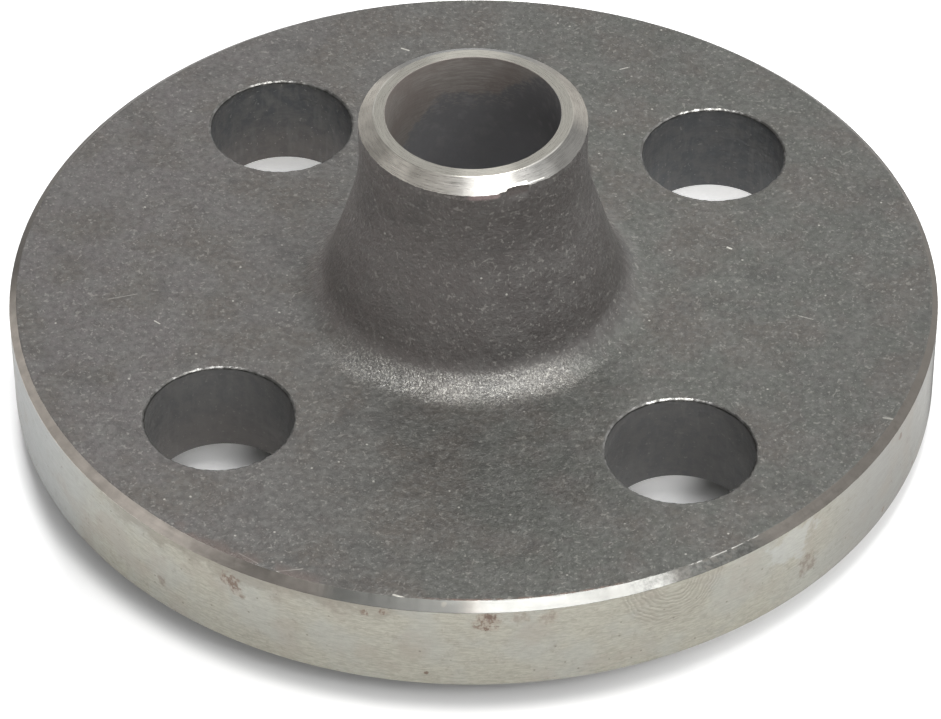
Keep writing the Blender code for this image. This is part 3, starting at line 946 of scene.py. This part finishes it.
def lip():
    """The drilled edge of each bolt hole: dark, with a painted highlight, broken up by noise, on the far side
    of each hole and weaker on the left holes.
    """
    made = Finish("lip")
    # Painted highlight on the far side of each hole's lip
    lip_glint = made.fade(made.hole_side(104.0), 0.90, 0.97)
    lip_glint = made.times(lip_glint, made.fade(made.grain(1.4, 4.0, 14.0, roughness=0.7), 0.49, 0.61))
    lip_glint = made.times(lip_glint, made.fade(made.x, -5.0, 5.0, 0.4, 1.0))
    tone = made.mix(made.fade(made.grain(1.3, 3.0, 4.0), 0.4, 0.65), LIP_DARK, LIP_GREY)
    made.colour(made.mix(lip_glint, tone, LIP_PAINTED_GLINT))
    made.roughness(made.fade(made.grain(3.0, 3.0, 3.0), 0.3, 0.7, 0.30, 0.46))
    made.bump(made.grain(1.8, 4.0, 2.0), 0.06)
    return made.material


def camera():
    turn, rise, roll = CAMERA_TURN, CAMERA_RISE, CAMERA_ROLL
    level = Vector((math.cos(turn), math.sin(turn), 0))
    back = Vector((math.sin(turn) * math.cos(rise), -math.cos(turn) * math.cos(rise), math.sin(rise)))
    over = back.cross(level)
    right = math.cos(roll) * level + math.sin(roll) * over
    above = math.cos(roll) * over - math.sin(roll) * level
    aim = Vector((0, 0, BACK_FACE)) + AIM_RIGHT * right + AIM_UP * above
    data = bpy.data.cameras.new("camera")
    data.lens = LENS_MM
    data.sensor_width = 36.0
    data.clip_start = 0.05
    data.clip_end = 20.0
    eye = bpy.data.objects.new("camera", data)
    turned = Matrix((right, above, back)).transposed().to_4x4()
    eye.matrix_world = Matrix.Translation(aim + CAMERA_DISTANCE * back) @ turned
    bpy.context.scene.collection.objects.link(eye)
    bpy.context.scene.camera = eye


def soft_light(name, direction, across, along, brightness, in_gloss=True, in_diffuse=True):
    """An oval softbox towards a direction; across and along are half its width and length, in degrees."""
    data = bpy.data.lights.new(name, "AREA")
    data.shape = "ELLIPSE"
    data.size = 2 * LIGHT_DISTANCE * math.tan(math.radians(across))
    data.size_y = 2 * LIGHT_DISTANCE * math.tan(math.radians(along))
    data.energy = brightness * math.pi * math.pi * data.size * data.size_y / 4
    lamp = bpy.data.objects.new(name, data)
    lamp.location = direction.normalized() * LIGHT_DISTANCE
    lamp.rotation_euler = direction.to_track_quat("Z", "Y").to_euler()
    lamp.visible_glossy = in_gloss
    lamp.visible_diffuse = in_diffuse
    bpy.context.scene.collection.objects.link(lamp)


def stage():
    corners = [(x * FLOOR_HALF, y * FLOOR_HALF, 0) for x, y in ((-1, -1), (1, -1), (1, 1), (-1, 1))]
    data = bpy.data.meshes.new("floor")
    data.from_pydata(corners, [], [(0, 1, 2, 3)])
    floor = bpy.data.objects.new("floor", data)
    made = Finish("floor_white", metallic=0.0)
    made.shader.inputs["Roughness"].default_value = 0.9
    painted_glow = 0.0
    painted_shade = 0.0
    # Painted shade: the floor coloured darker under each front hole
    for centre in list(hole_centres())[2:]:
        corner = centre / MM + HOLE_PAINTED_SHADE
        near = made.add("VectorMath", {0: made.place, 1: corner}, "Value", operation="DISTANCE")
        painted_shade = made.either(painted_shade, made.fade(near, HOLE_PAINTED_SHADE_END, HOLE_PAINTED_SHADE_FULL, 0.0, 0.8))
    # Painted shadow: the floor coloured darker just round and under the rim's foot, at the front left
    under = made.times(made.fade(made.radius, 49.4, 47.4), made.fade(made.radius, 40.0, 41.0, 0.0, 0.6))
    painted_shade = made.either(painted_shade, made.times(under, made.facing(252.0, 30.0, 60.0)))
    made.colour(made.mix(painted_shade, FLOOR_WHITE, FLOOR_PAINTED_SHADE))
    # Painted light: the floor glows in a patch under each bolt hole
    for centre, (strength, right, back, full, none) in zip(hole_centres(), HOLE_PAINTED_GLOW):
        spot = centre / MM + Vector((right, back, 0.0))
        near = made.add("VectorMath", {0: made.place, 1: spot}, "Value", operation="DISTANCE")
        painted_glow = made.either(painted_glow, made.fade(near, none, full, 0.0, strength))
    made.shader.inputs["Emission Color"].default_value = (1, 1, 1, 1)
    made.feed("Emission Strength", painted_glow)
    data.materials.append(made.material)
    bpy.context.scene.collection.objects.link(floor)
    sky()
    soft_light("top", Vector((0.050, 0.078, 0.996)), 6.07, 6.07, 32.0)
    soft_light("back", Vector((-0.226, 0.750, 0.622)), 7.33, 7.33, 51.0, in_gloss=False)
    soft_light("side", Vector((0.635, -0.405, 0.658)), 11.1, 11.1, 7.0, in_gloss=False)
    soft_light("sheen", Vector((0.241, -0.254, 0.937)), 12.0, 17.0, 14.0, in_diffuse=False)


def sky():
    """Soft light all round, stronger to the right and towards the horizon."""
    world = bpy.data.worlds.new("world")
    bpy.context.scene.world = world
    world.use_nodes = True
    nodes, links = world.node_tree.nodes, world.node_tree.links
    back = nodes["Background"]
    back.inputs["Color"].default_value = (1, 1, 1, 1)
    direction = nodes.new("ShaderNodeTexCoord")
    lean = nodes.new("ShaderNodeVectorMath")
    lean.operation = "DOT_PRODUCT"
    lean.inputs[1].default_value = WORLD_LEAN
    links.new(direction.outputs["Generated"], lean.inputs[0])
    strength = nodes.new("ShaderNodeMath")
    strength.operation = "MULTIPLY_ADD"
    strength.inputs[1].default_value = WORLD_MEAN
    strength.inputs[2].default_value = WORLD_MEAN * (1 - WORLD_LEAN.z * WORLD_MIDDLE)
    links.new(lean.outputs["Value"], strength.inputs[0])
    links.new(strength.outputs[0], back.inputs["Strength"])


forged = forging()
for material in (skin(), rim(), chamfer(), weld_end(), bore(), drilled(), gasket_face(), lip()):
    forged.data.materials.append(material)
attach(forged, "root")
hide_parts(NODE)
stage()
camera()
bpy.context.scene.view_settings.view_transform = "Standard"
